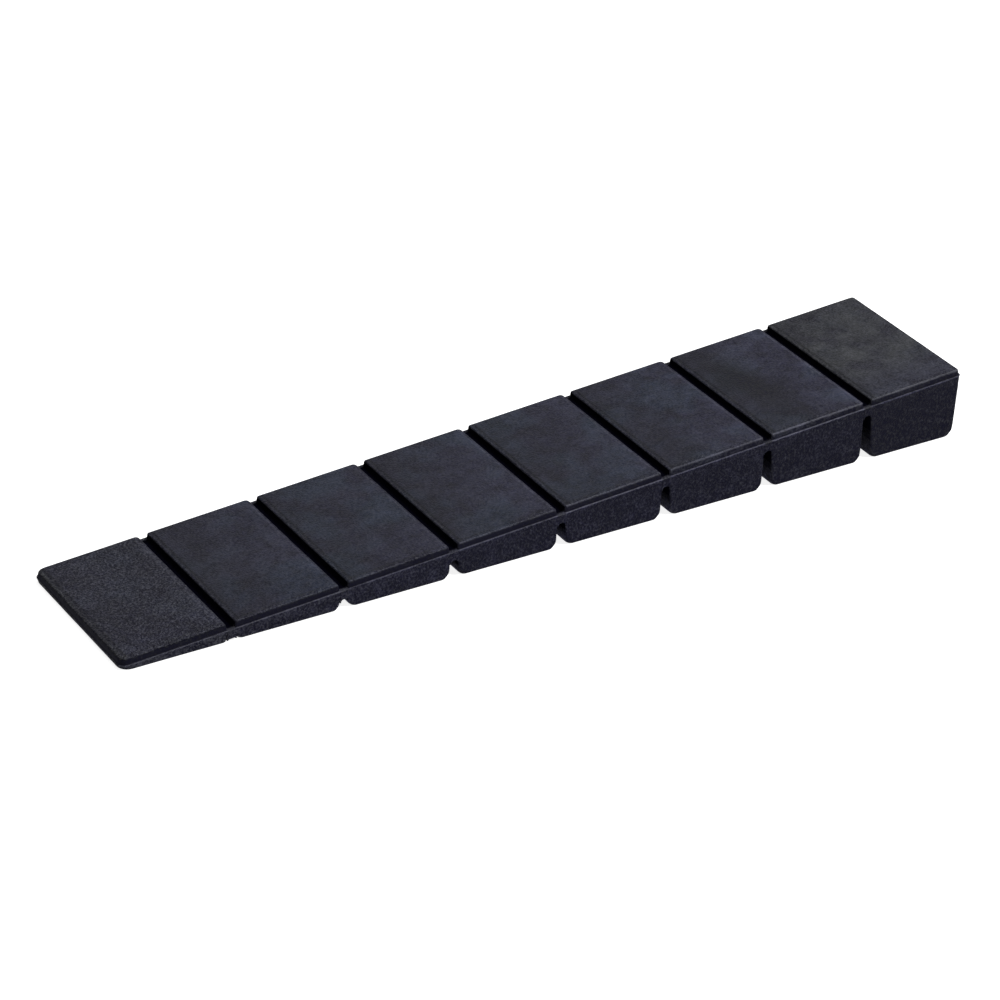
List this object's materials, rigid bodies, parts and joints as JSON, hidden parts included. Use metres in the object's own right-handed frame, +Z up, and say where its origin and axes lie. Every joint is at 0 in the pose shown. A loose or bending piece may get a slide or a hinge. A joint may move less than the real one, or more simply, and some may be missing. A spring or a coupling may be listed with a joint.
{
  "type": "levelling wedge",
  "caption": "Black plastic levelling wedge in a row of blocks that fold and snap off along thin webs, rising from a thin tip to a thick heel.",
  "frame": {"origin": "middle of the underside", "axes": "+X from the thin tip to the thick heel, +Y across the wedge, +Z up, away from the underside"},
  "size_m": [0.15, 0.031, 0.012],
  "materials": {
    "black_plastic": "moulded charcoal-black polypropylene: spark-eroded grain on the sides and tip, satin on the pads"
  },
  "bodies": {
    "block_1_tip": {"block_1_tip": "black_plastic", "web_1": "black_plastic"},
    "block_2": {"block_2": "black_plastic", "web_2": "black_plastic"},
    "block_3": {"block_3": "black_plastic", "web_3": "black_plastic"},
    "block_4": {"block_4": "black_plastic", "web_4": "black_plastic"},
    "block_5": {"block_5": "black_plastic", "web_5": "black_plastic"},
    "block_6": {"block_6": "black_plastic", "web_6": "black_plastic"},
    "block_7": {"block_7": "black_plastic", "web_7": "black_plastic"},
    "block_8_heel": {"block_8_heel": "black_plastic"}
  },
  "joints": [
    {"name": "fold_7", "type": "hinge", "parent": "block_8_heel", "child": "block_7", "pos_m": [0.05685, 0, 0.00888], "axis": [0, 1, 0], "range_deg": [-12.5, 42], "stiffness_Nm_per_rad": 0.9, "deforming": ["web_7"]},
    {"name": "fold_6", "type": "hinge", "parent": "block_7", "child": "block_6", "pos_m": [0.0379, 0, 0.0076], "axis": [0, 1, 0], "range_deg": [-14.5, 42], "stiffness_Nm_per_rad": 0.9, "deforming": ["web_6"]},
    {"name": "fold_5", "type": "hinge", "parent": "block_6", "child": "block_5", "pos_m": [0.01895, 0, 0.00633], "axis": [0, 1, 0], "range_deg": [-17, 42], "stiffness_Nm_per_rad": 0.9, "deforming": ["web_5"]},
    {"name": "fold_4", "type": "hinge", "parent": "block_5", "child": "block_4", "pos_m": [0, 0, 0.00505], "axis": [0, 1, 0], "range_deg": [-21.5, 42], "stiffness_Nm_per_rad": 0.9, "deforming": ["web_4"]},
    {"name": "fold_3", "type": "hinge", "parent": "block_4", "child": "block_3", "pos_m": [-0.01895, 0, 0.00377], "axis": [0, 1, 0], "range_deg": [-29, 42], "stiffness_Nm_per_rad": 0.9, "deforming": ["web_3"]},
    {"name": "fold_2", "type": "hinge", "parent": "block_3", "child": "block_2", "pos_m": [-0.0379, 0, 0.0025], "axis": [0, 1, 0], "range_deg": [-44, 42], "stiffness_Nm_per_rad": 0.9, "deforming": ["web_2"]},
    {"name": "fold_1", "type": "hinge", "parent": "block_2", "child": "block_1_tip", "pos_m": [-0.05685, 0, 0.00122], "axis": [0, 1, 0], "range_deg": [-45, 42], "stiffness_Nm_per_rad": 0.9, "deforming": ["web_1"]}
  ]
}
